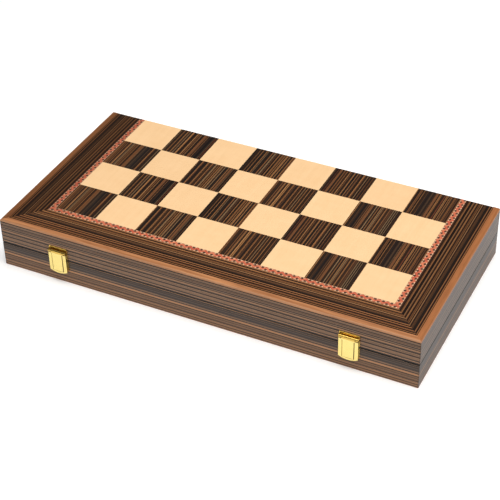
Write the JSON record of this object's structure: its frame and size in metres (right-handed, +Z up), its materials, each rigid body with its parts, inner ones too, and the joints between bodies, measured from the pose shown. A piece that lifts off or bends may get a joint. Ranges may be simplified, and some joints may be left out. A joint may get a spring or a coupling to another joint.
{
  "type": "folding chess set",
  "caption": "Folding wooden chess box whose outer faces form the board, hinged at the rear, with two brass catches and the chessmen in flocked inserts.",
  "frame": {"origin": "middle of the underside of the closed case", "axes": "+X along the case to the right as seen from the catches, +Y from the catches to the hinges, +Z up"},
  "size_m": [0.48, 0.2465, 0.06],
  "materials": {
    "rail_wood": "satin lacquered brown hardwood",
    "plywood": "sanded plywood",
    "maple_veneer": "satin lacquered pale veneer",
    "striped_veneer": "satin lacquered dark striped veneer",
    "rope_inlay": "satin lacquered inlay banding",
    "flocked_insert": "short flock",
    "brass": "bright pressed brass",
    "dark_chessmen": "polished dark stained wood",
    "light_chessmen": "polished pale wood",
    "felt": "wool felt"
  },
  "bodies": {
    "base": {"base_front_rail": "rail_wood", "base_rear_rail": "rail_wood", "base_left_rail": "rail_wood", "base_right_rail": "rail_wood", "base_panel_core": "plywood", "base_light_squares": "maple_veneer", "base_dark_squares": "striped_veneer", "base_rope_banding": "rope_inlay", "base_border_veneer": "striped_veneer", "base_outer_veneer": "striped_veneer", "base_insert": "flocked_insert", "hinge_base_leaves": "brass", "hinge_base_screws": "brass", "hinge_pins": "brass", "left_latch_keeper": "brass", "right_latch_keeper": "brass", "latch_keeper_nails": "brass", "dark_king": "dark_chessmen", "dark_queen": "dark_chessmen", "dark_bishop_left": "dark_chessmen", "dark_bishop_right": "dark_chessmen", "dark_knight_left": "dark_chessmen", "dark_knight_right": "dark_chessmen", "dark_rook_left": "dark_chessmen", "dark_rook_right": "dark_chessmen", "dark_pawns": "dark_chessmen", "dark_felts": "felt"},
    "lid": {"lid_front_rail": "rail_wood", "lid_rear_rail": "rail_wood", "lid_left_rail": "rail_wood", "lid_right_rail": "rail_wood", "lid_panel_core": "plywood", "lid_light_squares": "maple_veneer", "lid_dark_squares": "striped_veneer", "lid_rope_banding": "rope_inlay", "lid_border_veneer": "striped_veneer", "lid_outer_veneer": "striped_veneer", "lid_insert": "flocked_insert", "hinge_lid_leaves": "brass", "hinge_lid_screws": "brass", "left_latch_plate": "brass", "right_latch_plate": "brass", "left_latch_pin": "brass", "right_latch_pin": "brass", "latch_plate_nails": "brass", "light_king": "light_chessmen", "light_queen": "light_chessmen", "light_bishop_left": "light_chessmen", "light_bishop_right": "light_chessmen", "light_knight_left": "light_chessmen", "light_knight_right": "light_chessmen", "light_rook_left": "light_chessmen", "light_rook_right": "light_chessmen", "light_pawns": "light_chessmen", "light_felts": "felt"},
    "left_flap": {"left_latch_flap": "brass"},
    "right_flap": {"right_latch_flap": "brass"}
  },
  "joints": [
    {"name": "lid_hinge", "type": "hinge", "parent": "base", "child": "lid", "pos_m": [0, 0.12015, 0.03], "axis": [-1, 0, 0], "range_deg": [0, 180]},
    {"name": "left_catch", "type": "hinge", "parent": "lid", "child": "left_flap", "pos_m": [-0.1684, -0.12235, 0.0406], "axis": [-1, 0, 0], "range_deg": [0, 120]},
    {"name": "right_catch", "type": "hinge", "parent": "lid", "child": "right_flap", "pos_m": [0.1666, -0.12235, 0.0406], "axis": [-1, 0, 0], "range_deg": [0, 120]}
  ]
}
